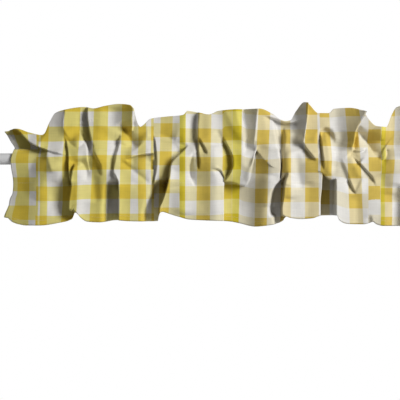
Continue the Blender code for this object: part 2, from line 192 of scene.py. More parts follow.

# %% [markdown]
# Folds.  Real folds could come from a cloth simulation, but a simulation puts them where it likes.
# Here each one is laid one by one, as a tailor would push them into place: a curved stroke on the
# cloth, given by a few points to draw it through.  "near" is the side on the left hand of someone
# walking along the stroke, so it is the right side of a stroke drawn downwards and the upper side
# of one drawn to the right; "far" is the other side.  Each side is lifted (or sunk) most at the
# stroke and dies away over its reach.  Equal sides make a soft ridge or trough; unequal sides make
# the lip of a fold.  "edge" is how sharply the two sides part, and "over" how far the higher side
# is pushed out over the lower one, as cloth that is pushed together does.  The header comes first:
# it is stiff, because it is two layers thick, so its folds are long and mostly upright.

# %% Header folds
HEADER_FOLDS = (
    # path (x, z), near lift, near reach, far lift, far reach, edge, over
    (((30, 82), (78, 76), (92, 71), (107, 57), (125, 39), (150, 28), (174, 20)),
     10, 14, -26, 36, 1.2, 0),
    (((118, 44), (150, 27), (185, 16), (218, 8)), 5, 10, -5, 6, 1.0, 0),
    (((20, 25), (80, 25), (112, 26), (146, 20)), -18, 16, 6, 12, 1.4, 0),
    (((168, 78), (160, 60), (151, 46), (148, 34)), 1, 12, -3, 14, 4, 0),
    (((214, 145), (211, 112), (208, 92), (208, 78), (213, 66), (221, 56), (230, 47)),
     12, 36, 9, 14, 1.5, 0),
    (((213, 54), (222, 42), (234, 31), (245, 26), (255, 31), (262, 42), (262, 56)),
     -6, 7, -4, 6, 1.5, 0),
    (((269, 136), (268, 115), (270, 90), (274, 65), (279, 44), (287, 24)), 8, 24, -28, 12, 1.2, 0),
    (((275, 48), (281, 26), (289, 9), (298, -8), (303, -20), (305, -44)), 4, 16, -12, 9, 2, 0),
    (((250, 74), (258, 50), (266, 40), (271, 22), (273, 0), (277, -32)), -12, 8, 5, 12, 1.5, 1),
    (((304, 180), (302, 90), (298, 10), (306, -80), (306, -220)), 9, 26, 9, 22, 5, 0),
    (((336, 130), (334, 95), (342, 50)), -7, 24, -7, 24, 6, 0),
    (((385, 170), (381, 110), (372, 70), (358, 34)), 22, 30, 22, 34, 3, 0),
    (((388, 160), (385, 122), (383, 100), (381, 70)), -16, 14, 12, 20, 1.0, 3),
    (((352, 62), (349, 48), (345, 27), (340, 8), (338, -6), (336, -24)), 6, 20, -12, 12, 2, 0),
    (((339, -2), (336, -18), (335, -32), (338, -44), (346, -53), (348, -66), (348, -84)),
     4, 12, -12, 6, 0.8, 0),
    (((352, 92), (360, 76), (369, 60), (381, 44), (396, 28)), -32, 18, -32, 12, 2, 0),
    (((366, -1), (382, 3), (396, 7), (410, 10), (424, 12), (438, 14)), 8, 10, -21, 8, 1.5, 0),
    (((433, 60), (439, 38), (441, 14), (442, -8), (440, -34), (436, -50), (432, -68), (428, -92)),
     6, 22, -9, 3.5, 0.8, 0),
    (((438, -2), (438, -14), (437, -28)), 0, 8, -9, 9, 2.5, 0),
    (((420, 54), (445, 56), (470, 50), (488, 44)), -9, 22, 0, 10, 4, 0),
    (((518, 160), (514, 90), (512, 36)), 12, 8, 14, 40, 3, 0),
    (((547, 128), (545, 104), (543, 78), (543, 60), (546, 42), (546, 20)), 9, 22, -16, 22, 1.6, 0),
    (((543, 48), (545, 28), (547, 8), (549, -10), (548, -28)), 5, 14, -11, 4, 0.8, 0),
    (((536, 40), (533, 12), (533, -18)), 2, 6, 2, 6, 2, 0),
    (((548, 52), (552, 43), (559, 31), (568, 12)), 3, 12, -13, 5, 1.0, 0),
    (((576, 160), (572, 100), (572, 10), (574, -80), (574, -220)), 9, 22, 9, 22, 5, 0),
    (((612, 140), (617, 115), (626, 96), (635, 77), (644, 62), (652, 48)), 8, 25, 8, 16, 3, 0),
    (((592, 72), (599, 56), (607, 38)), -4, 5, -4, 7, 2, 0),
    (((606, 56), (612, 42), (622, 22), (629, 3), (630, -17), (625, -32), (617, -44), (606, -58)),
     9, 14, -19, 15, 1.4, 0),
    (((640, 150), (647, 102), (656, 70), (659, 45), (659, 27), (655, 3), (654, -20)),
     8, 9, 11, 20, 3, 0),
    (((700, 150), (694, 115), (691, 85), (688, 56), (682, 22)), 17, 20, 21, 24, 1.5, 0),
    (((655, 140), (658, 100), (662, 75), (664, 48), (657, 8)), -20, 22, -9, 8, 2.5, 0),
    (((690, 44), (682, 14), (675, -6), (668, -24)), 0, 8, -7, 12, 3, 0),
    (((688, 42), (680, 8), (672, -18), (667, -38), (664, -58)), 9, 9, 9, 16, 1.0, 0),
    (((712, 160), (714, 100), (716, 25)), 12, 26, 12, 26, 6, 0),
    (((727, 44), (724, -10), (719, -120)), 7, 18, 7, 18, 6, 0),
    (((732, 104), (738, 78), (743, 50), (748, 22), (750, -6)), -14, 14, 5, 12, 3.5, 0),
    (((747, 28), (749, 8), (750, -20), (746, -56)), -26, 6, 6, 14, 0.8, 1),
    (((760, 80), (760, 50), (757, 14), (755, -8), (753, -36), (758, -56)), 6, 14, -9, 8, 2, 0),
    (((708, 108), (722, 104), (736, 99), (750, 94), (764, 89), (778, 89), (794, 94), (808, 101)),
     4, 6, -14, 13, 2, 0),
    (((819, 200), (817, 118), (812, 78), (807, 44), (806, 28)), 9, 24, 34, 25, 1.0, 4),
    (((784, 140), (784, 70), (790, 20)), -18, 26, -14, 22, 8, 0),
    (((800, 64), (805, 44), (811, 30), (821, 15), (831, 3), (839, -6)), 7, 18, -17, 15, 1.3, 0),
    (((765, 80), (770, 30), (773, -100)), 8, 12, 8, 12, 4, 0),
    (((842, 36), (845, 55), (852, 68), (862, 75), (874, 70), (884, 50), (888, 36)),
     6, 14, -12, 12, 5, 0),
    (((849, 68), (852, 48), (853, 28), (854, 10), (856, -6), (859, -26)), 8, 12, -12, 4, 0.8, 0),
    (((864, 60), (867, 30), (873, -40)), 9, 9, 9, 9, 3, 0),
    (((906, 70), (898, 34), (888, 4), (880, -40)), -8, 10, -8, 9, 4, 0),
    (((894, 150), (892, 90), (894, 50)), -5, 16, -5, 16, 5, 0),
    (((972, 152), (962, 120), (950, 97), (940, 81), (933, 64), (930, 48), (929, 34), (931, 18)),
     -4, 14, 38, 27, 1.0, 5),
    (((950, 84), (941, 66), (936, 48), (934, 34), (935, 20)), -14, 12, -6, 4, 1.5, 0),
    (((949, 60), (946, 44), (945, 24)), 4, 6, 4, 6, 2, 0),
    (((930, 23), (937, 18), (948, 18), (957, 21), (963, 28)), 5, 10, -6, 4, 1.0, 0),
    (((944, 70), (955, 56), (965, 45), (972, 34), (980, 19), (989, 6), (997, 0), (1006, -2)),
     -26, 16, -11, 8, 1.6, 0),
    (((997, -2), (1004, -3), (1010, 2), (1013, 12), (1014, 26)), 0, 4, -8, 5, 1.0, 0),
    (((1016, 150), (1008, 90), (1005, 45)), 5, 20, 14, 30, 3, 0),
    (((922, 16), (934, 4), (948, -10)), -9, 7, -9, 7, 2.5, 0),
    (((926, 8), (935, 0), (946, -11), (957, -23), (968, -35), (978, -46), (984, -58), (987, -70)),
     4, 14, -8, 6, 0.8, 0),
    (((1036, 150), (1034, 60), (1036, 20)), -4, 12, -4, 12, 4, 0),
    (((1066, 150), (1062, 0)), 10, 16, 10, 16, 4, 0),
)
print(len(HEADER_FOLDS), "folds in the header")

# %% [markdown]
# Round the rod the cloth is pushed together most.  The two seams hold it there, so the header's
# folds pinch off into short creases that bend aside, and the skirt's folds start as narrow points.

# %% Pocket folds
POCKET_FOLDS = (
    # path (x, z), near lift, near reach, far lift, far reach, edge, over
    (((166, 30), (172, 8), (179, -14), (186, -36)), 7, 16, 7, 7, 1.5, 0),
    (((211, 56), (216, 44), (219, 31), (223, 12), (224, -10), (224, -32), (226, -52), (229, -68)),
     5, 12, -12, 4, 0.8, 0),
    (((223, -2), (224, -24), (225, -44), (229, -68)), 5, 12, -8, 9, 1.0, 0),
    (((198, 30), (199, 0), (194, -60)), 4, 10, 4, 14, 4, 0),
    (((239, -12), (234, -30), (231, -46), (228, -66)), 8, 14, -13, 4, 0.8, 0),
    (((244, 60), (246, 20), (251, -24)), 10, 16, 10, 16, 5, 0),
    (((233, -28), (242, -12), (254, -10), (264, -20), (268, -38), (264, -54)),
     -12, 8, -10, 6, 2, 0),
    (((250, -10), (248, -60), (243, -170)), 10, 14, 10, 14, 4, 0),
    (((281, 0), (286, -40), (292, -110)), -8, 12, -8, 12, 5, 0),
    (((346, 0), (360, -11), (382, -28), (402, -44), (424, -62)), -6, 6, -5, 7, 2.5, 0),
    (((398, 8), (408, -120), (408, -220)), 8, 20, 8, 20, 6, 0),
    (((520, 34), (507, 19), (491, 5), (478, -12), (473, -36), (470, -58), (463, -84)),
     12, 26, -28, 10, 1.0, 0),
    (((512, 14), (506, -140)), 9, 20, 9, 20, 6, 0),
    (((533, 20), (527, -2), (524, -22), (526, -44), (532, -60), (539, -72)), -10, 12, -2, 5, 2, 0),
    (((530, 8), (526, -8), (524, -22), (525, -38), (530, -56)), -9, 5, -4, 3, 1.0, 0),
    (((588, 34), (590, -60), (588, -230)), 10, 16, 10, 16, 5, 0),
    (((578, -27), (588, -25), (598, -27), (605, -34), (609, -46), (607, -64)),
     4, 8, -10, 5, 1.0, 0),
    (((785, 16), (792, -22), (802, -76)), -8, 9, -8, 9, 5, 0),
    (((768, -34), (764, -48), (760, -66)), 4, 14, -10, 6, 1.0, 0),
    (((897, 2), (904, -12), (911, -28), (918, -46), (924, -62), (930, -76), (937, -86)),
     3, 10, -5, 9, 2.5, 0),
    (((919, -50), (924, -62), (930, -73), (937, -86)), 2, 6, -8, 5, 0.8, 0),
    (((953, -44), (946, -62), (939, -76), (935, -90)), 1, 8, -4, 9, 3.5, 0),
    (((924, 10), (940, -30), (954, -90)), 5, 9, 5, 9, 4, 0),
    (((1000, -36), (1010, -72), (1022, -112)), -6, 14, -6, 14, 6, 0),
    (((1026, 10), (1030, -30), (1028, -90)), 6, 18, 6, 18, 8, 0),
)
print(len(POCKET_FOLDS), "folds in the pocket")

# %% [markdown]
# Below the lower seam the single layer hangs free, and its folds open into a few broad tubes that
# run to the hem.  A stroke may start above the skirt or end below the hem: the part that lies off
# the cloth only keeps the fold at its full depth up to the edge.

# %% Skirt folds
SKIRT_FOLDS = (
    # path (x, z), near lift, near reach, far lift, far reach, edge, over
    (((154, 0), (150, -50), (140, -190)), 8, 40, 8, 40, 8, 0),
    (((196, -4), (178, -34), (158, -70), (144, -106)), 5, 14, 5, 14, 5, 0),
    (((227, -44), (230, -62), (228, -82), (225, -104), (224, -124), (228, -129), (238, -131),
      (246, -140), (252, -250)), 12, 24, 0, 10, 1.0, 0),
    (((330, -26), (345, -54), (347, -80), (347, -140), (350, -260)), 13, 30, 0, 10, 1.0, 0),
    (((385, -60), (385, -190)), 6, 34, 6, 34, 8, 0),
    (((478, -26), (470, -58), (464, -82), (456, -105), (449, -122), (448, -130), (451, -146),
      (456, -250)), 14, 28, 0, 10, 1.0, 0),
    (((502, -70), (512, -190)), 8, 50, 8, 50, 8, 0),
    (((716, -40), (706, -120), (701, -230)), 8, 20, 8, 26, 10, 0),
    (((766, -38), (763, -48), (760, -60), (758, -80), (756, -102), (753, -125), (754, -140),
      (763, -148), (765, -250)), 12, 24, 0, 10, 1.0, 0),
    (((822, -56), (816, -180)), -5, 12, -5, 12, 5, 0),
    (((887, -46), (887, -100), (888, -260)), 16, 34, 0, 10, 1.0, 0),
    (((940, -90), (946, -210)), -6, 12, -6, 12, 5, 0),
    (((974, -140), (984, -200)), 3, 12, -4, 8, 3, 0),
    (((1018, -70), (1012, -200)), 6, 20, 6, 20, 6, 0),
    (((1048, -60), (1050, -120), (1046, -260)), 12, 22, -10, 20, 8, 0),
)
print(len(SKIRT_FOLDS), "folds in the skirt")

# %% [markdown]
# Between two tubes of the skirt the cloth falls back and lies in shadow.  Such a gap is an area and
# not a line, so it is given by its left side, its right side and the rim above it.  Inside the
# three, the cloth is set back by the depth; each side has its own softness, from a sharp lip that
# hides what is behind it to a slow slope.  "over" pushes the lips out over the gap.

# %% Gaps behind the skirt
GAPS = (
    # left side, right side and upper rim (x, z), how far back, softness of the three, over
    (((212, -36), (206, -58), (196, -76), (190, -96), (190, -112), (198, -130), (216, -146),
      (242, -156)),
     ((227, -44), (230, -62), (228, -82), (225, -104), (224, -124), (228, -129), (238, -131),
      (246, -140), (252, -250)),
     ((176, -66), (200, -58), (214, -52), (236, -48)),
     -32, (18, 0.8, 9), 0),
    (((326, -50), (321, -70), (319, -100), (317, -130), (316, -260)),
     ((330, -26), (345, -54), (347, -80), (347, -140), (350, -260)),
     ((300, -62), (320, -60), (336, -57), (354, -54)),
     -48, (6, 0.8, 4), 0),
    (((444, -50), (434, -62), (429, -86), (418, -110), (411, -136), (413, -250)),
     ((473, -36), (470, -58), (464, -82), (456, -105), (449, -122), (448, -130), (451, -146),
      (456, -250)),
     ((425, -62), (440, -59), (455, -54), (480, -44)),
     -50, (4, 0.8, 5), 3),
    (((610, -40), (607, -60), (606, -100), (606, -260)),
     ((700, 40), (700, -30), (697, -90), (690, -260)),
     ((588, -50), (606, -54), (620, -55), (632, -57), (648, -63), (660, -65), (667, -60),
      (673, -42), (680, -10), (685, 14), (690, 22), (698, 14), (710, -2), (735, -22)),
     -28, (0.8, 20, 1.6), 5),
    (((752, -46), (744, -56), (735, -68), (729, -90), (725, -122), (727, -136), (737, -146),
      (740, -250)),
     ((770, -26), (763, -44), (760, -58), (758, -80), (756, -102), (753, -125), (754, -140),
      (763, -148), (765, -250)),
     ((738, -66), (748, -54), (756, -50), (764, -44), (774, -36)),
     -44, (4, 0.8, 3), 2),
    (((853, -30), (851, -72), (848, -110), (848, -260)),
     ((887, -30), (887, -100), (888, -260)),
     ((838, -30), (846, -31), (857, -37), (866, -45), (876, -50), (887, -49), (899, -46)),
     -58, (0.8, 0.8, 0.8), 4),
)
FOLDS = HEADER_FOLDS + POCKET_FOLDS + SKIRT_FOLDS
print(len(FOLDS), "folds and", len(GAPS), "gaps")

# %% [markdown]
# Before it is folded, the cloth has a plain shape: it stands furthest forward at the rod, falls
# back to the header's top and to the hem, and its left end drifts back a little.  It can't sink
# into the rod, so another table says how far back it may go at each height.

# %% Cloth before it is folded
STAND_OFF = (
    # z, forward
    (-180, 17), (-110, 17), (-80, 18), (-60, 20), (-40, 24), (-20, 28), (0, 29.5), (12, 26),
    (22, 19), (35, 11), (60, 5), (140, -6),
)
DRIFT = (
    # x, forward
    (58, -11), (200, 5), (300, 8), (420, 4), (1100, 0),
)
ROD_LIMIT = (
    # z, least forward
    (-180, -44), (-50, -42), (-36, -34), (-26, -20), (-20, -6), (-17, 3), (-14, 10), (-7, 15.8),
    (0, 17), (7, 15.8), (14, 10), (17, 3), (20, -7), (26, -22), (36, -32), (60, -36), (150, -60),
)
LIMIT_ROUNDING = 4.0
print(f"{curve_through(STAND_OFF, 0.0):.1f} forward at the rod")

# %% [markdown]
# No cloth is without a little crumple.  It is smooth noise in three sizes, each read from a small
# lattice of random heights.  The seeds are fixed, so the crumple is the same each time.

# %% Crumple
CRUMPLE = (
    # size, height, seed
    (70, 1.6, 3),
    (34, 0.9, 5),
    (17, 0.35, 8),
)
LATTICE = 64
LATTICE_START = (8, 32)


def soft_noise(x, z, size, seed):
    lattice = np.random.default_rng(seed).uniform(-1, 1, (LATTICE, LATTICE))
    i, s = np.divmod(np.asarray(x) / size + LATTICE_START[0], 1)
    j, t = np.divmod(np.asarray(z) / size + LATTICE_START[1], 1)
    i, j = i.astype(int) % (LATTICE - 1), j.astype(int) % (LATTICE - 1)
    s, t = ease(s), ease(t)
    low = lattice[i, j] * (1 - s) + lattice[i + 1, j] * s
    high = lattice[i, j + 1] * (1 - s) + lattice[i + 1, j + 1] * s
    return low * (1 - t) + high * t


print(f"up to {sum(height for _, height, _ in CRUMPLE):.1f} of crumple")

# %% [markdown]
# Every fold and gap asks the same question: how far is this place from the stroke, and on which
# side?  The stroke is drawn as a fine line of points, the nearest of them is found, and the offset
# is split into a part along the line and a part across it.  A stroke only reaches so far, so
# places outside a box around it are skipped, which keeps the script quick.

# %% Beside a stroke
STROKE_STEP = 2.0


def smooth_stroke(path):
    path = np.array(path, float)
    run = np.concatenate(([0], np.cumsum(np.linalg.norm(np.diff(path, axis=0), axis=1))))
    places = np.linspace(0, run[-1], int(run[-1] / STROKE_STEP) + 3)
    by_axis = [curve_through(np.column_stack((run, path[:, k])), places) for k in (0, 1)]
    line = np.stack(by_axis, axis=1)
    way = np.gradient(line, axis=0)
    return line, way / np.linalg.norm(way, axis=1, keepdims=True), places[-1]


def beside(x, z, path):
    line, way, length = smooth_stroke(path)
    distance = (x[..., None] - line[:, 0]) ** 2 + (z[..., None] - line[:, 1]) ** 2
    nearest = distance.argmin(axis=-1)
    off_x, off_z = x - line[nearest, 0], z - line[nearest, 1]
    way_x, way_z = way[nearest, 0], way[nearest, 1]
    along = length * nearest / (len(line) - 1) + off_x * way_x + off_z * way_z
    return way_x * off_z - way_z * off_x, along, length, way_x, way_z


def part_of(x, z, paths, margin):
    points = np.array([point for path in paths for point in path])
    low, high = points.min(axis=0) - margin, points.max(axis=0) + margin
    return (x > low[0]) & (x < high[0]) & (z > low[1]) & (z < high[1])


print(f"first fold {smooth_stroke(FOLDS[0][0])[2]:.0f} long")

# %% [markdown]
# One fold moves each place forward, and sideways and up where the lip is pushed over.  Its strength
# fades at both ends of the stroke, where the fold also gets narrower, so that it runs out in the
# cloth as a real crease does.

# %% One fold
FOLD_FADE = 0.25
LONGEST_FADE = 30.0
FOLD_MARGIN = 5
NARROW_END = 0.4
PUSH_REACH = 3


def one_fold(x, z, fold):
    path, near, near_reach, far, far_reach, edge, over = fold
    moved = np.zeros((3, *x.shape))
    here = part_of(x, z, [path], FOLD_MARGIN * max(near_reach, far_reach))
    if not here.any():
        return moved
    across, along, length, way_x, way_z = beside(x[here], z[here], path)
    fade = min(FOLD_FADE * length, LONGEST_FADE)
    strength = ease(along / fade) * ease((length - along) / fade)
    away = np.sqrt(across ** 2 + (2 * edge) ** 2) - 2 * edge
    narrowing = NARROW_END + (1 - NARROW_END) * strength
    side = 0.5 + 0.5 * np.tanh(across / edge)
    near_side = near * np.exp(-away / (near_reach * narrowing))
    far_side = far * np.exp(-away / (far_reach * narrowing))
    moved[0][here] = strength * (side * near_side + (1 - side) * far_side)
    if over:
        higher = side if near > far else 1 - side
        push = over * strength * higher * np.exp(-np.abs(across) / (PUSH_REACH * over))
        push = -push if near > far else push
        moved[1][here] = -way_z * push
        moved[2][here] = way_x * push
    return moved


middle_of_first = FOLDS[0][0][len(FOLDS[0][0]) // 2]
moved_there = one_fold(*np.array(middle_of_first, float).reshape(2, 1), FOLDS[0])
print(f"the first fold moves its middle {moved_there[0, 0]:.1f} forward")

# %% [markdown]
# One gap multiplies three soft steps, one for each of its sides, and sets the cloth back by the
# product.  The lips on the left and at the rim are pushed out over the gap; the right side is
# already a fold of the skirt.

# %% One gap
GAP_MARGIN = 20
GAP_SOFT_MARGIN = 3
PUSH_FADE = 12


def one_gap(x, z, gap):
    left, right, rim, depth, softness, over = gap
    moved = np.zeros((3, *x.shape))
    here = part_of(x, z, (left, right, rim), GAP_MARGIN + GAP_SOFT_MARGIN * max(softness))
    if not here.any():
        return moved
    inside, push_x, push_z = 1.0, 0.0, 0.0
    for path, turn, soft in zip((left, right, rim), (1, -1, -1), softness):
        across, along, length, way_x, way_z = beside(x[here], z[here], path)
        within = 0.5 + 0.5 * np.tanh(turn * across / soft)
        inside = inside * within
        if over and path is not right:
            push = turn * over * (1 - within) * np.exp(-np.abs(across) / (PUSH_REACH * over))
            push = push * ease(along / PUSH_FADE) * ease((length - along) / PUSH_FADE)
            push_x, push_z = push_x - way_z * push, push_z + way_x * push
    moved[0][here] = depth * inside
    moved[1][here] = push_x
    moved[2][here] = push_z
    return moved


print("deepest gap goes", -min(gap[3] for gap in GAPS), "back")

# %% [markdown]
# The shape of the front is then one sum: the plain shape, every fold, every gap and the crumple,
# held clear of the rod.  `slant` tells how much longer the cloth is here than it looks from the
# front, which keeps a second layer at the same distance from a steep first one.

# %% Shape of the front
SLANT_STEP = 0.5
STEEPEST = 2.5


def folded(x, z):
    x, z = np.broadcast_arrays(np.asarray(x, float), np.asarray(z, float))
    moved = np.zeros((3, *x.shape))
    moved[0] = curve_through(STAND_OFF, z) + curve_through(DRIFT, x)
    for fold in FOLDS:
        moved += one_fold(x, z, fold)
    for gap in GAPS:
        moved += one_gap(x, z, gap)
    for size, height, seed in CRUMPLE:
        moved[0] += height * soft_noise(x, z, size, seed)
    moved[0] = larger(moved[0], curve_through(ROD_LIMIT, z), LIMIT_ROUNDING)
    return moved


def forward(x, z):
    return folded(x, z)[0]


def slant(x, z):
    by_x = (forward(x + SLANT_STEP, z) - forward(x - SLANT_STEP, z)) / (2 * SLANT_STEP)
    by_z = (forward(x, z + SLANT_STEP) - forward(x, z - SLANT_STEP)) / (2 * SLANT_STEP)
    return np.minimum(np.sqrt(1 + by_x ** 2 + by_z ** 2), STEEPEST)


along_seam = forward(np.linspace(CLOTH_LEFT, CLOTH_RIGHT, 50), SEAM_LOW)
print(f"lower seam {along_seam.min():.0f} to {along_seam.max():.0f} forward")

# %% [markdown]
# The sheet is a net of points.  Its lines run closer together where the folds are steep, so the
# sharp lips get enough points without wasting any on the flat stretches.  At a few pinched pleats
# some cloth is hidden, so the checks jump; two columns set close together keep that jump sharp.

# %% Lines of the net
COLUMNS = 600
FINE_COLUMNS = 2000
LOOK_LOW = -150
LOOK_HIGH = 120
LOOK_ROWS = 40
STEEP_SHARE = 0.55
PLEATS = (142.5, 434.4, 499.0, 630.0, 968.0, 1001.0)
PLEAT_HALF = 0.06


def column_places():
    fine = np.linspace(CLOTH_LEFT, CLOTH_RIGHT, FINE_COLUMNS)
    x, z = np.meshgrid(fine, np.linspace(LOOK_LOW, LOOK_HIGH, LOOK_ROWS))
    steep = np.abs(np.gradient(forward(x, z), fine, axis=1)).mean(axis=0)
    density = (1 - STEEP_SHARE) + STEEP_SHARE * steep / steep.mean()
    run = np.concatenate(([0], np.cumsum(0.5 * (density[1:] + density[:-1]))))
    places = np.interp(np.linspace(0, run[-1], COLUMNS), run, fine)
    beside_pleats = [x + side for x in PLEATS for side in (-PLEAT_HALF, PLEAT_HALF)]
    return np.sort(np.concatenate((places, beside_pleats)))


columns = column_places()
hem_line = curve_through(HEM_EDGE, columns)
top_line = curve_through(TOP_EDGE, columns)
print(f"columns {np.diff(columns).min():.1f} to {np.diff(columns).max():.1f} apart")

# %% [markdown]
# Gingham is woven in stripes of equal width both ways, so the checks must follow the cloth, not the
# view.  Each point gets its place on the flat cloth, counted in repeats of the pattern.  The first
# table says where along the rod each stripe ends: where the cloth is bunched, the stripes look
# narrow, and at a pinched pleat a whole one goes by at once.  The second table says how far each
# stripe leans sideways on its way up to the top edge and down to the hem.

# %% Stripes along the rod
STRIPE_EDGES = (
    # x along the rod, how many half repeats have gone by
    (53, -1), (89.5, 0), (122.5, 1), (142.5, 2), (148, 3), (152, 4), (169.8, 5), (209, 6), (248, 7),
    (282.5, 8), (319.5, 9), (353, 10), (380, 11), (396, 12), (415.6, 13), (428.1, 14), (434.4, 15),
    (449.5, 16), (479.5, 17), (499, 18), (513.5, 19), (542.7, 20), (576.5, 21), (605.5, 22),
    (629.96, 23), (630.04, 24), (651.5, 25), (688.5, 26), (720, 27), (753, 28), (775.5, 29),
    (811, 30), (843.5, 31), (849.5, 32), (877, 33), (915.5, 34), (949, 35), (968, 36),
    (1000.96, 37), (1001.04, 38), (1033.5, 39), (1069, 40), (1105, 41),
)
STRIPE_LEAN = (
    # x along the rod, sideways at the top edge, sideways at the hem
    (60, 0, 0), (90, 0, 1), (123, 0, 3), (143, 0, 0), (170, 5, 0), (210, 2.5, -4), (248, 3, -3),
    (283, 2.5, -5.5), (320, 1.5, -3), (353, 2, -3), (380, 0, -3), (396, 0, 0), (434, 0, 0),
    (450, 2, -4), (480, 3, -6.5), (499, 0, 0), (543, 2, -2), (577, 2, -2), (605, 0, 0), (630, 0, 0),
    (652, 3, -4), (688, 6, -2), (720, 5, -3), (752, -1, -1), (776, 0, 0), (843, 0, 0), (877, -4, 0),
    (915, -3, 5), (949, -4, 6), (968, 3, 1), (1001, 0, -2), (1033, 3, -5), (1098, 0, 0),
)
LEAN_UP = 110
LEAN_DOWN = 120


def flat_across(x):
    at, halves = np.array(STRIPE_EDGES).T
    return np.interp(x, at, halves) / 2


def leaning(x, z):
    at, top, hem = np.array(STRIPE_LEAN).T
    over_top = np.interp(x, at, top) * np.maximum(z, 0) / LEAN_UP
    over_hem = np.interp(x, at, hem) * np.maximum(-z, 0) / LEAN_DOWN
    return over_top + over_hem


def placed(z):
    return with_ends(columns + leaning(columns, z), z)


print("whole repeats across the cloth", len(STRIPE_EDGES) // 2)

# %% [markdown]
# The rows of checks rise and fall a little, because the cloth has slipped on the rod here and
# there.  The next table gives that for the header, the pocket and the skirt, with a jump wherever a
# pleat hides what lies between.  Low in the skirt one yellow stripe is swallowed: it is folded away
# behind its neighbour, and the white one beside it shows in its place.

# %% Rows of checks
REPEAT = 72.5
ROW_START = -27.5
ROW_RISE = (
    # x along the rod, raised in the header, in the pocket, in the skirt
    (60, 16, 16, 20), (142.45, 16, 16, 20), (142.55, 0, -4, -5), (180, 0, -5, -6), (225, 0, -3, -5),
    (262, 0, -1, -1), (300, 0, 0, 0), (434.35, 0, 0, 0), (434.45, 8, 10, 15), (498.95, 8, 10, 15),
    (499.05, -5, -4, -5), (576, -6, -5, -4), (605, -8, -5, -2), (612, 0, 0, 0), (650, 1, 1, 0),
    (662, -5, -5, -6), (688, -9, -9, -11), (720, -9, -9, -11), (750, -7.5, -7.5, -8),
    (845, -7.5, -7.5, -8), (851, -14, -14, -14), (884, -14, -14, -14), (912, -11, -20, -24),
    (967.95, -11, -20, -24), (968.05, -8, -5, -3), (1000.95, -8, -5, -3), (1001.05, -11, -11, -8),
    (1100, -11, -11, -8),
)
HEADER_AT = 90.0
SKIRT_AT = -110.0
SWALLOWED = (968.0, 1001.0, -101.0)


def flat_up(x, z):
    at, header, pocket, skirt = np.array(ROW_RISE).T
    high = np.clip(z / HEADER_AT, 0, 1)
    low = np.clip(z / SKIRT_AT, 0, 1)
    rise = np.interp(x, at, header) * high + np.interp(x, at, skirt) * low
    rise = rise + np.interp(x, at, pocket) * (1 - high) * (1 - low)
    return (z - ROW_START - rise) / REPEAT


def shown(z):
    left, right, below = SWALLOWED
    hidden = (columns > left) & (columns < right) & (z < below)
    return flat_across(columns) + 0.5 * hidden


print(f"checks {REPEAT / 2:.1f} high")

# %% [markdown]
# The rows of the net follow the sheet as it was sewn: up the front from the hem, over the top edge,
# down the back of the header, round behind the rod as the back of the pocket, and down to the lower
# seam where it meets the front again.  Each row holds five numbers for each column: the place in
# space, and the place on the flat cloth.  The hem is turned up behind the front, a little apart.

# %% Front and hem
LAYER_GAP = 2.0
HEM_DEPTH = 14.0
HEM_GAP = 1.2
HEM_ROWS = (1.0, 0.5, 0.05)


def net_rows(x, y, z, face_z):
    flat = flat_up(columns, face_z)
    return np.stack(np.broadcast_arrays(x, y, z, shown(face_z), flat), axis=-1)


def spread_rows(start, end, shares):
    return start + (end - start) * np.reshape(shares, (-1, 1))


def front(z):
    x = placed(z)
    lift, push_x, push_z = folded(x, z)
    return net_rows(x + push_x, -lift, z + push_z, z)


def turned_hem():
    z = spread_rows(hem_line, hem_line + HEM_DEPTH, HEM_ROWS)
    x = placed(z)
    return net_rows(x, HEM_GAP * slant(x, z) - forward(x, z), z, 2 * hem_line - z)


print(f"hem turned up {HEM_DEPTH:.0f}")

# %% [markdown]
# The back of the header is a second layer that follows the front with a little air between them.
# Behind a sharp lip it can't turn as sharply, so it keeps clear of the furthest-back place that the
# front has anywhere near.  Its checks start from the ruffled top edge and become level on the way
# down.

# %% Back of the header
BACK_HEADER_ROWS = 10
FIRST_ROW = 0.2
BACK_TOP = 118.0
PUFF = 2.5
PUFF_SIZE = 46
PUFF_SEED = 21
NEAR_LOOK = 1
FAR_LOOK = 5
LOOK_GROWS = 0.2


def back_header():
    share = np.reshape((np.arange(BACK_HEADER_ROWS) + FIRST_ROW) / BACK_HEADER_ROWS, (-1, 1))
    z = spread_rows(top_line, SEAM_TOP, share)
    x = placed(z)
    puff = 1 + PUFF * np.sin(math.pi * share) * (1 + soft_noise(x, z, PUFF_SIZE, PUFF_SEED))
    look = NEAR_LOOK + (FAR_LOOK - NEAR_LOOK) * ease(share / LOOK_GROWS)
    around = ((0, 0), (look, 0), (-look, 0), (0, look), (0, -look))
    furthest_back = np.min([forward(x + right, z + up) for right, up in around], axis=0)
    evened = 2 * (BACK_TOP - top_line) * share
    return net_rows(x, LAYER_GAP * puff - furthest_back, z, 2 * top_line - z + evened)


print(BACK_HEADER_ROWS, "rows down the back of the header")

# %% [markdown]
# The back of the pocket hangs round the rod.  A short table guides it from one seam to the other,
# and a gentle wave runs along it, because the same cloth is gathered there too.  Wherever that
# would cut into the front layer or into the rod, it is pushed clear of them.

# %% Back of the pocket
BACK_POCKET_ROWS = 14
POCKET_BACK = (
    # share of the way down, backward, z
    (0.0, 0, 22),
    (0.14, 6, 18.4),
    (0.27, 15.5, 10),
    (0.42, 18.5, -4),
    (0.58, 17, -20),
    (0.74, 12, -35),
    (0.88, 5, -48),
    (1.0, 0, -60),
)
ROD_CLEARANCE = 2.5
SEAM_GAP = 0.7 * LAYER_GAP
TOUCH_ROUNDING = 1.0
WAVE_HEIGHT = 4
WAVE_LENGTH = 11.7
WAVE_TURN = 0.04
RUMPLE_HEIGHT = 3
RUMPLE_SIZE = 30
RUMPLE_SEED = 34
WAVE_STARTS = 0.5
WAVE_ENDS = 0.3
LEAVES_TOP_SEAM = 0.14
MEETS_LOW_SEAM = 0.38


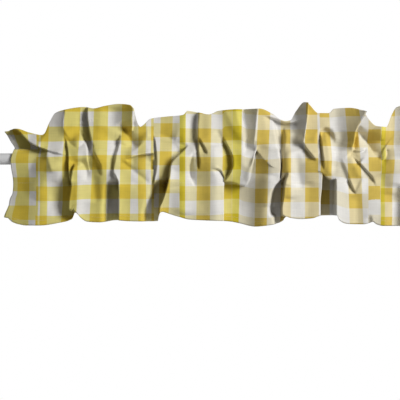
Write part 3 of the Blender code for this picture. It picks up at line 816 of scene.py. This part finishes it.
def back_pocket():
    share = np.linspace(0, 1, BACK_POCKET_ROWS + 1).reshape(-1, 1)
    down = np.array(POCKET_BACK, float)
    z = curve_through(down[:, (0, 2)], share) + np.zeros(len(columns))
    x = placed(z)
    at_top, at_low = np.full(len(columns), SEAM_TOP), np.full(len(columns), SEAM_LOW)
    start = LAYER_GAP * slant(columns, at_top) - forward(columns, at_top)
    end = SEAM_GAP * slant(columns, at_low) - forward(columns, at_low)
    rumple = RUMPLE_HEIGHT * soft_noise(x, z, RUMPLE_SIZE, RUMPLE_SEED)
    wave = WAVE_HEIGHT * np.sin(x / WAVE_LENGTH + WAVE_TURN * z) + rumple
    waving = wave * ease(share / WAVE_STARTS) * ease((1 - share) / WAVE_ENDS)
    guide = curve_through(down[:, (0, 1)], share) + waving
    guide = guide + start * ease(1 - share / LEAVES_TOP_SEAM)
    guide = guide + end * ease((share - (1 - MEETS_LOW_SEAM)) / MEETS_LOW_SEAM)
    clear = SEAM_GAP * slant(x, z) - forward(x, z)
    around_rod = np.sqrt(np.maximum((ROD_RADIUS + ROD_CLEARANCE) ** 2 - z ** 2, 0))
    back = larger(larger(guide, clear, TOUCH_ROUNDING), around_rod, TOUCH_ROUNDING)
    return net_rows(x, back, z, 2 * BACK_TOP - z)


print(BACK_POCKET_ROWS, "rows down the back of the pocket")

# %% [markdown]
# All the rows are put together in the order of the sheet.  The lowest row of the front is set back
# a little, because cloth that is turned under rolls over at the hem, which gives it a thin shadow.

# %% Whole net
SKIRT_ROWS = 44
POCKET_ROWS = 38
HEADER_ROWS = 44
HEM_ROLL = 1.4

upper_seam = np.full(len(columns), SEAM_TOP)
net = np.concatenate((
    turned_hem(),
    front(spread_rows(hem_line, SEAM_LOW, np.arange(SKIRT_ROWS) / SKIRT_ROWS)),
    front(spread_rows(SEAM_LOW, upper_seam, np.arange(POCKET_ROWS) / POCKET_ROWS)),
    front(spread_rows(SEAM_TOP, top_line, np.arange(HEADER_ROWS + 1) / HEADER_ROWS)),
    back_header(),
    back_pocket(),
))
lowest_front_row = len(HEM_ROWS)
net[lowest_front_row, :, 1] += HEM_ROLL
print(f"net of {net.shape[0]} rows by {net.shape[1]} columns")

# %% [markdown]
# The two short ends are hemmed as well: their last centimetre is turned to the back, so three more
# columns are added at each end, a little behind the cloth.

# %% End hems
END_HEM_DEPTH = 10.0
END_HEM_GAP = 0.7
END_HEM_COLUMNS = (END_HEM_DEPTH, 0.5 * END_HEM_DEPTH, 0.5)


def end_hem(edge, inward):
    is_front = np.arange(net.shape[0]) < net.shape[0] - BACK_HEADER_ROWS - BACK_POCKET_ROWS - 1
    hems = []
    for depth in END_HEM_COLUMNS:
        nearest = np.abs(columns - columns[edge] - inward * depth).argmin()
        hem = net[:, nearest].copy()
        hem[:, 1] += np.where(is_front, END_HEM_GAP, -END_HEM_GAP)
        hem[:, 3] = 2 * net[:, edge, 3] - hem[:, 3]
        hems.append(hem)
    return np.stack(hems, axis=1)


hemmed_net = np.concatenate((end_hem(0, 1), net, end_hem(-1, -1)[:, ::-1]), axis=1)
print(hemmed_net.shape[1], "columns with the end hems")

# %% [markdown]
# The points become a mesh of four-sided faces.  The places on the flat cloth go into its UV map,
# which is how a material finds its way about on a surface, so the gingham bends with the folds.

# %% Sheet of cloth
def build_sheet(name, net):
    height, width = net.shape[:2]
    points = net[:, :, :3].reshape(-1, 3) * MM
    corner = np.arange(height * width).reshape(height, width)
    around = (corner[:-1, :-1], corner[:-1, 1:], corner[1:, 1:], corner[1:, :-1])
    faces = np.stack(around, axis=-1).reshape(-1, 4)
    mesh = bpy.data.meshes.new(name)
    mesh.from_pydata(points.tolist(), [], faces.tolist())
    places = mesh.uv_layers.new(name="flat_cloth")
    loops = np.empty(len(mesh.loops), np.int32)
    mesh.loops.foreach_get("vertex_index", loops)
    flat = net[:, :, 3:5].reshape(-1, 2)[loops]
    places.data.foreach_set("uv", flat.ravel())
    mesh.shade_smooth()
    return add_object(name, mesh)


valance = build_sheet("valance_cloth", hemmed_net)
print(len(valance.data.polygons), "faces in the sheet")

# %% [markdown]
# Stitches.  Two lines of machine stitching across the cloth make the pocket, one holds the hem, and
# one runs down each short end.  Each line follows the front of the cloth, just proud of it.

# %% Lines of stitching
STITCH_LIFT = 0.12
SEAM_INSET = 6
HEM_INSET = 1.5
END_INSET = 3
SEAM_POINTS = 3000
END_POINTS = 600


def seam_path(x, z):
    return np.stack((x, -forward(x, z) - STITCH_LIFT, z), axis=1)


across_x = np.linspace(CLOTH_LEFT + SEAM_INSET, CLOTH_RIGHT - SEAM_INSET, SEAM_POINTS)
lines = []
for height in (SEAM_TOP, SEAM_LOW):
    z = np.full(len(across_x), height)
    lines.append(seam_path(with_ends(across_x, z), z))
hem_z = curve_through(HEM_EDGE, across_x) + HEM_DEPTH - HEM_INSET
lines.append(seam_path(with_ends(across_x, hem_z), hem_z))
for side in (CLOTH_LEFT + END_HEM_DEPTH - HEM_INSET, CLOTH_RIGHT - END_HEM_DEPTH + HEM_INSET):
    bottom = float(curve_through(HEM_EDGE, side)) + END_INSET
    top = float(curve_through(TOP_EDGE, side)) - END_INSET
    z = np.linspace(bottom, top, END_POINTS)
    lines.append(seam_path(with_ends(np.full(END_POINTS, side), z), z))
print(len(lines), "lines of stitching")

# %% [markdown]
# Each stitch is a small six-sided bead of thread, thin at both ends where it dips into the cloth.
# They are all joined in one mesh, because hundreds of separate objects would be slow.

# %% Beads of thread
STITCH = 2.4
STITCH_GAP = 0.7
LINE_MARGIN = 2.0
LOOK_AHEAD = 0.5
THREAD = 0.22
SIDES = 6
UPRIGHT = 0.9
BEAD = (
    # along, size
    (-0.5, 0.35),
    (-0.25, 1.0),
    (0.25, 1.0),
    (0.5, 0.35),
)


def stitch_line(path):
    steps = np.linalg.norm(np.diff(path, axis=0), axis=1)
    run = np.concatenate(([0], np.cumsum(steps)))
    places = np.arange(LINE_MARGIN, run[-1] - LINE_MARGIN, STITCH + STITCH_GAP)
    middle = np.stack([np.interp(places, run, path[:, k]) for k in range(3)], axis=1)
    next_places = places + LOOK_AHEAD
    ahead = np.stack([np.interp(next_places, run, path[:, k]) for k in range(3)], axis=1)
    way = ahead - middle
    return middle, way / np.linalg.norm(way, axis=1, keepdims=True)


def add_bead(points, faces, centre, along, outward, sideways):
    first = len(points)
    for place, size in BEAD:
        for k in range(SIDES):
            turn = 2 * math.pi * k / SIDES
            ring = THREAD * size * (math.cos(turn) * outward + math.sin(turn) * sideways)
            points.append((centre + STITCH * place * along + ring) * MM)
    for r in range(len(BEAD) - 1):
        for k in range(SIDES):
            a = first + SIDES * r + k
            b = first + SIDES * r + (k + 1) % SIDES
            faces.append((a, b, b + SIDES, a + SIDES))
    last = first + SIDES * (len(BEAD) - 1)
    faces.append(tuple(first + k for k in reversed(range(SIDES))))
    faces.append(tuple(last + k for k in range(SIDES)))


stitch_points = []
stitch_faces = []
for path in lines:
    middle, way = stitch_line(path)
    outward = np.cross(way, (0, 0, 1.0))
    outward[np.abs(way[:, 2]) > UPRIGHT] = (0, -1.0, 0)
    outward /= np.linalg.norm(outward, axis=1, keepdims=True)
    for bead in zip(middle, way, outward, np.cross(way, outward)):
        add_bead(stitch_points, stitch_faces, *bead)

stitch_mesh = bpy.data.meshes.new("stitching")
stitch_mesh.from_pydata([tuple(p) for p in stitch_points], [], stitch_faces)
stitch_mesh.shade_smooth()
stitching = add_object("stitching", stitch_mesh)
print(len(stitch_points) // (SIDES * len(BEAD)), "stitches")

# %% [markdown]
# A small kit for building materials.  Blender's shaders are networks of nodes; these helpers add a
# node, set its values and join it up in one line each, so that the recipes below stay readable.

# %% Node helpers
class Recipe:
    def __init__(self, name):
        self.material = bpy.data.materials.new(name)
        self.material.use_nodes = True
        self.tree = self.material.node_tree
        self.shader = self.tree.nodes["Principled BSDF"]

    def put(self, socket, value):
        if isinstance(value, bpy.types.NodeSocket):
            self.tree.links.new(value, socket)
        else:
            socket.default_value = value

    def math(self, operation, a, b=0.0, c=0.0):
        node = self.tree.nodes.new("ShaderNodeMath")
        node.operation = operation
        for socket, value in zip(node.inputs, (a, b, c)):
            self.put(socket, value)
        return node.outputs[0]

    def mix(self, share, a, b, blend="MIX"):
        node = self.tree.nodes.new("ShaderNodeMix")
        node.data_type = "RGBA"
        node.blend_type = blend
        self.put(node.inputs["Factor"], share)
        for socket, value in zip((node.inputs[6], node.inputs[7]), (a, b)):
            self.put(socket, value if isinstance(value, bpy.types.NodeSocket) else (*value, 1.0))
        return node.outputs[2]

    def between(self, value, from_low, from_high, to_low, to_high):
        node = self.tree.nodes.new("ShaderNodeMapRange")
        for socket, number in zip(node.inputs, (value, from_low, from_high, to_low, to_high)):
            self.put(socket, number)
        return node.outputs[0]

    def noise(self, place, scale, detail=2.0, rough=0.5):
        node = self.tree.nodes.new("ShaderNodeTexNoise")
        self.put(node.inputs["Vector"], place)
        self.put(node.inputs["Scale"], scale)
        self.put(node.inputs["Detail"], detail)
        self.put(node.inputs["Roughness"], rough)
        return node.outputs["Fac"]

    def place(self, x, y, z=0.0):
        node = self.tree.nodes.new("ShaderNodeCombineXYZ")
        for socket, value in zip(node.inputs, (x, y, z)):
            self.put(socket, value)
        return node.outputs[0]

    def set(self, **values):
        for name, value in values.items():
            self.put(self.shader.inputs[name.replace("_", " ")], value)

    def bump(self, height, depth, strength=1.0):
        node = self.tree.nodes.new("ShaderNodeBump")
        self.put(node.inputs["Height"], height)
        node.inputs["Distance"].default_value = depth
        node.inputs["Strength"].default_value = strength
        self.put(self.shader.inputs["Normal"], node.outputs["Normal"])


print("helpers:", [name for name in vars(Recipe) if not name.startswith("_")])

# %% [markdown]
# Gingham.  The warp threads run down the cloth in yellow and white stripes, and the weft threads
# run across it in the same stripes.  A stripe is the first half of every repeat: the whole numbers
# of the place on the flat cloth are cut off, and what is left is compared with a half.  The dye
# bleeds a little at the edges, and no stripe is quite straight, so noise shifts it slightly.

# %% Stripes of dyed thread
DYE_BLEED = 0.014
WANDER = 0.006
WANDER_OFTEN = 6.0
WANDER_SELDOM = 2.0

cotton = Recipe("gingham_cotton")
flat = cotton.tree.nodes.new("ShaderNodeUVMap")
flat.uv_map = "flat_cloth"
split = cotton.tree.nodes.new("ShaderNodeSeparateXYZ")
cotton.put(split.inputs[0], flat.outputs[0])
across, up = split.outputs[0], split.outputs[1]


def stripe(run, other):
    often = cotton.math("MULTIPLY", run, WANDER_OFTEN)
    seldom = cotton.math("MULTIPLY", other, WANDER_SELDOM)
    wander = cotton.noise(cotton.place(often, seldom), 1.0)
    shifted = cotton.math("ADD", run, cotton.between(wander, 0, 1, -WANDER, WANDER))
    phase = cotton.math("FRACT", shifted)
    rise = cotton.between(phase, 0.0, DYE_BLEED, 0.0, 1.0)
    fall = cotton.between(phase, 0.5 - DYE_BLEED / 2, 0.5 + DYE_BLEED / 2, 1.0, 0.0)
    return cotton.math("MULTIPLY", rise, fall)


warp = stripe(across, up)
weft = stripe(up, across)
print(len(cotton.tree.nodes), "nodes for the stripes")

# So there are four colours. Hand and dye are never perfect: the yellow is paler towards the
# right, and a few warp stripes lean to lime.

# %% Gingham colours
WHITE = (0.81, 0.79, 0.745)
LEFT_DYES = (
    # warp alone, weft alone, both
    (0.76, 0.67, 0.20), (0.78, 0.69, 0.24), (0.73, 0.54, 0.055),
)
RIGHT_DYES = (
    (0.77, 0.66, 0.38), (0.79, 0.73, 0.56), (0.70, 0.51, 0.100),
)
LIME_DYES = (
    # warp alone, both
    (0.70, 0.62, 0.07), (0.62, 0.50, 0.015),
)
LIME_STRIPES = (
    # from, to, strength on white rows, strength on dyed rows
    (9.0, 9.5, 0.8, 0.8), (11.05, 11.5, 0.5, 0.5), (12.0, 12.5, 0.75, 0.9),
    (19.0, 19.18, 0.8, 0.8),
)
PALER_FROM = 4.0
PALER_TO = 14.0

faded = cotton.between(across, PALER_FROM, PALER_TO, 0.0, 1.0)
warp_dye, weft_dye, both_dye = [cotton.mix(faded, a, b) for a, b in zip(LEFT_DYES, RIGHT_DYES)]
for start, end, on_white, on_dyed in LIME_STRIPES:
    after_start = cotton.math("GREATER_THAN", across, start)
    inside = cotton.math("MULTIPLY", after_start, cotton.math("LESS_THAN", across, end))
    warp_dye = cotton.mix(cotton.math("MULTIPLY", inside, on_white), warp_dye, LIME_DYES[0])
    both_dye = cotton.mix(cotton.math("MULTIPLY", inside, on_dyed), both_dye, LIME_DYES[1])
plain_rows = cotton.mix(warp, WHITE, warp_dye)
dyed_rows = cotton.mix(warp, weft_dye, both_dye)
colour = cotton.mix(weft, plain_rows, dyed_rows)
print(len(LIME_STRIPES), "stripes lean to lime")

# %% [markdown]
# Slubs are thick places in a thread.  They run along single threads both ways, so the noise is
# stretched along each, and the shade changes a little there.  A broader noise lets the shade drift
# slowly.  The weave itself is far too fine for the mesh, so it is a bump: two sine waves cross,
# one for each way of the threads.

# %% Slubs and weave
SLUBS = 34.0
SLUB_DETAIL = 3.0
SLUB_ROUGH = 0.7
SLUB_RANGE = (0.7, 1.3)
SLUB_SHADES = (0.935, 1.06)
OTHER_SLUBS = 5.0
BROAD_SCALE = 2.2
BROAD_RANGE = (0.3, 0.7)
BROAD_SHADES = (0.96, 1.03)
THREADS = 130.0
WEAVE_SHARE = 0.3
WEAVE_DEPTH = 0.00035
WEAVE_STRENGTH = 0.5

many_across, many_up = [cotton.math("MULTIPLY", way, SLUBS) for way in (across, up)]
slub_down = cotton.noise(cotton.place(many_across, up), 1.0, SLUB_DETAIL, SLUB_ROUGH)
over_place = cotton.place(across, many_up, OTHER_SLUBS)
slub_over = cotton.noise(over_place, 1.0, SLUB_DETAIL, SLUB_ROUGH)
slubs = cotton.math("ADD", slub_down, slub_over)
shade = cotton.between(slubs, *SLUB_RANGE, *SLUB_SHADES)
broad = cotton.noise(cotton.place(across, up), BROAD_SCALE)
tone = cotton.math("MULTIPLY", shade, cotton.between(broad, *BROAD_RANGE, *BROAD_SHADES))
colour = cotton.mix(1.0, colour, cotton.place(tone, tone, tone), "MULTIPLY")

thread_turns = THREADS * 2 * math.pi
thread_down, thread_over = [
    cotton.math("SINE", cotton.math("MULTIPLY", way, thread_turns)) for way in (across, up)
]
weave = cotton.math("MULTIPLY", thread_down, thread_over)
height = cotton.math("ADD", cotton.math("MULTIPLY", weave, WEAVE_SHARE), slubs)
cotton.bump(height, WEAVE_DEPTH, WEAVE_STRENGTH)
cotton.set(Base_Color=colour, Roughness=0.88, Specular_IOR_Level=0.25)
cotton.set(Sheen_Weight=0.15, Sheen_Roughness=0.5)
print(len(cotton.tree.nodes), "nodes for the gingham")

# %% [markdown]
# Thread and rod.  The thread is the same cotton in plain pale yellow.  The rod is a steel tube with
# baked white enamel: smooth and slightly glossy, with the faint waviness of a sprayed coat.  Both
# are placed by the object's own coordinates, so their grain stays on them wherever they are.

# %% Thread and enamel
THREAD_GRAIN = 900.0
THREAD_DYES = ((0.72, 0.66, 0.42), (0.85, 0.80, 0.60))
ENAMEL_RIPPLE = 140.0
ENAMEL_TINT = 9.0
ENAMEL_WHITES = ((0.80, 0.80, 0.80), (0.86, 0.86, 0.86))
ENAMEL_ROUGHNESS = (0.28, 0.4)
THREAD_DEPTH = 0.0001
ENAMEL_DEPTH = 0.00008
ENAMEL_STRENGTH = 0.4

thread = Recipe("sewing_thread")
texture_place = thread.tree.nodes.new("ShaderNodeTexCoord").outputs["Object"]
grain = thread.noise(texture_place, THREAD_GRAIN)
thread.set(Base_Color=thread.mix(grain, *THREAD_DYES), Roughness=0.8)
thread.bump(grain, THREAD_DEPTH)

enamel = Recipe("white_enamel")
coat_place = enamel.tree.nodes.new("ShaderNodeTexCoord").outputs["Object"]
ripple = enamel.noise(coat_place, ENAMEL_RIPPLE, 1.0)
tint = enamel.noise(coat_place, ENAMEL_TINT, 2.0)
enamel.set(
    Base_Color=enamel.mix(tint, *ENAMEL_WHITES),
    Roughness=enamel.between(ripple, 0, 1, *ENAMEL_ROUGHNESS),
    Specular_IOR_Level=0.5,
)
enamel.bump(ripple, ENAMEL_DEPTH, ENAMEL_STRENGTH)

valance.data.materials.append(cotton.material)
stitching.data.materials.append(thread.material)
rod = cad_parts["rod"]
rod.data.materials.clear()
rod.data.materials.append(enamel.material)
print("materials:", [m.name for m in bpy.data.materials if m.use_nodes])

# %% [markdown]
# Light.  One large soft lamp stands to the right, above and in front, so every fold is bright on
# its right and shaded on its left, and the light falls off towards the left end.  A weak fill keeps
# the hollows from going black.

# %% Lamps
LAMPS = (
    # name, x, y, z, size, power
    ("key", 4.2, -2.9, 1.85, 2.6, 245),
    ("fill", -0.3, -3.2, 0.6, 1.6, 1),
)
LIT_PLACE = (0.55, 0, 0)


def add_lamp(name, x, y, z, size, power):
    data = bpy.data.lights.new(name, "AREA")
    data.shape = "SQUARE"
    data.size = size
    data.energy = power
    data.cycles.max_bounces = 1
    lamp = add_object(name, data)
    lamp.location = (x, y, z)
    towards = Vector(LIT_PLACE) - lamp.location
    lamp.rotation_euler = towards.to_track_quat("-Z", "Y").to_euler()
    lamp.visible_camera = False


for lamp in LAMPS:
    add_lamp(*lamp)
print("lamps:", [name for name, *_ in LAMPS])

# %% [markdown]
# The world is pure white where the camera sees it and much dimmer as a light, which a Light Path
# node can tell apart.

# %% World
WORLD_LIGHT = 0.13

world = bpy.data.worlds.new("studio")
world.use_nodes = True
bpy.context.scene.world = world
sky = world.node_tree
seen = sky.nodes["Background"]
seen.inputs["Color"].default_value = (1, 1, 1, 1)
seen.inputs["Strength"].default_value = 1.0
lit = sky.nodes.new("ShaderNodeBackground")
lit.inputs["Color"].default_value = (1, 1, 1, 1)
lit.inputs["Strength"].default_value = WORLD_LIGHT
ray = sky.nodes.new("ShaderNodeLightPath")
choose = sky.nodes.new("ShaderNodeMixShader")
sky.links.new(ray.outputs["Is Camera Ray"], choose.inputs["Fac"])
sky.links.new(lit.outputs[0], choose.inputs[1])
sky.links.new(seen.outputs[0], choose.inputs[2])
sky.links.new(choose.outputs[0], sky.nodes["World Output"].inputs["Surface"])
print(f"world lights with {WORLD_LIGHT} and is seen white")

# %% [markdown]
# The floor is far below, plain and pale: the valance hangs above it and touches nothing but its
# rod.  "Standard" shows the colours as they are, without a film look.

# %% Floor
FLOOR_HALF = 1.3
FLOOR_PLACE = (0.55, 0, -0.9)

corners = [(x * FLOOR_HALF, y * FLOOR_HALF, 0) for x, y in ((-1, -1), (1, -1), (1, 1), (-1, 1))]
floor_mesh = bpy.data.meshes.new("floor")
floor_mesh.from_pydata(corners, [], [(0, 1, 2, 3)])
floor = add_object("floor", floor_mesh)
floor.location = FLOOR_PLACE
pale = Recipe("pale_floor")
pale.set(Base_Color=(0.85, 0.85, 0.85, 1.0), Roughness=0.9)
floor_mesh.materials.append(pale.material)
bpy.context.scene.view_settings.view_transform = "Standard"
print(f"floor {2 * FLOOR_HALF:.1f} m wide")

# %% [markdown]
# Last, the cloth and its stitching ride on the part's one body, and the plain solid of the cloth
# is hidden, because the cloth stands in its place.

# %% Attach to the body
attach(valance, "root")
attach(stitching, "root")
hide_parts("valance")
